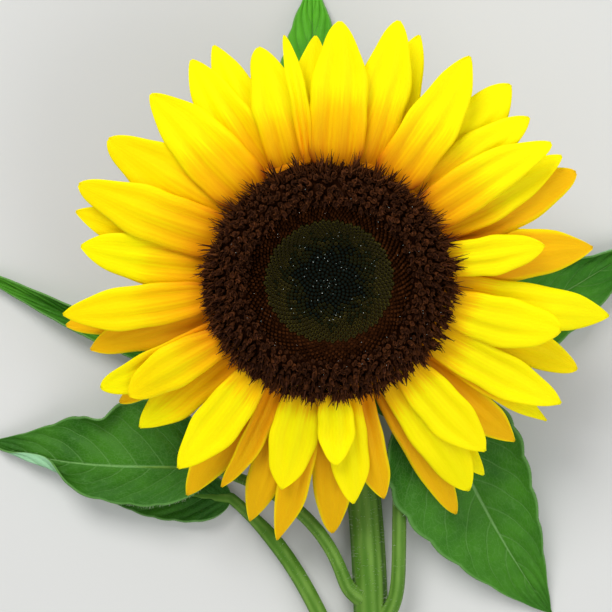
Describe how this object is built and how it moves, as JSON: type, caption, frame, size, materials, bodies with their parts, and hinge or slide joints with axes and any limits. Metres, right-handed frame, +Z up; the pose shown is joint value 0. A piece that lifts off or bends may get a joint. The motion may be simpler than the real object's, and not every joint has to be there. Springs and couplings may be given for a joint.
{
  "type": "cut sunflower",
  "caption": "Cut dark-centred sunflower: an open bloom with overlapping yellow ray florets on a bent neck, with a short length of leafy stem, lying on its back.",
  "frame": {"origin": "on the ground, at the middle of the plant's footprint", "axes": "+Z up, out of the ground that the cut flower lies on; the stem lies along -Y and its cut end is the lowest Y; +X is to the right when looking down with the bloom beyond the stem"},
  "size_m": [0.2268, 0.2958, 0.0831],
  "materials": {
    "stem": "satin",
    "bracts": "matte",
    "disc": "matte",
    "buds": "matte",
    "leaf": "satin",
    "ray": "satin"
  },
  "bodies": {
    "root": {"stem": "stem", "receptacle": "bracts", "disc_ring": "disc", "disc_centre": "buds", "leaf_left": "leaf", "leaf_lower_left": "leaf", "leaf_lower_right": "leaf", "leaf_right": "leaf", "leaf_top": "leaf", "leaf_upper_left": "leaf", "ray_01": "ray", "ray_02": "ray", "ray_03": "ray", "ray_04": "ray", "ray_05": "ray", "ray_06": "ray", "ray_07": "ray", "ray_08": "ray", "ray_09": "ray", "ray_10": "ray", "ray_11": "ray", "ray_12": "ray", "ray_13": "ray", "ray_14": "ray", "ray_15": "ray", "ray_16": "ray", "ray_17": "ray", "ray_18": "ray", "ray_19": "ray", "ray_20": "ray", "ray_21": "ray", "ray_22": "ray", "ray_23": "ray", "ray_24": "ray", "ray_25": "ray", "ray_26": "ray", "ray_27": "ray", "ray_28": "ray", "ray_29": "ray", "ray_30": "ray", "ray_31": "ray", "ray_32": "ray", "ray_33": "ray", "ray_34": "ray", "ray_35": "ray", "ray_36": "ray", "ray_37": "ray", "ray_38": "ray", "ray_39": "ray", "ray_40": "ray", "ray_41": "ray", "ray_42": "ray", "ray_43": "ray", "ray_44": "ray", "ray_45": "ray", "ray_46": "ray", "ray_47": "ray", "ray_48": "ray"}
  },
  "joints": []
}
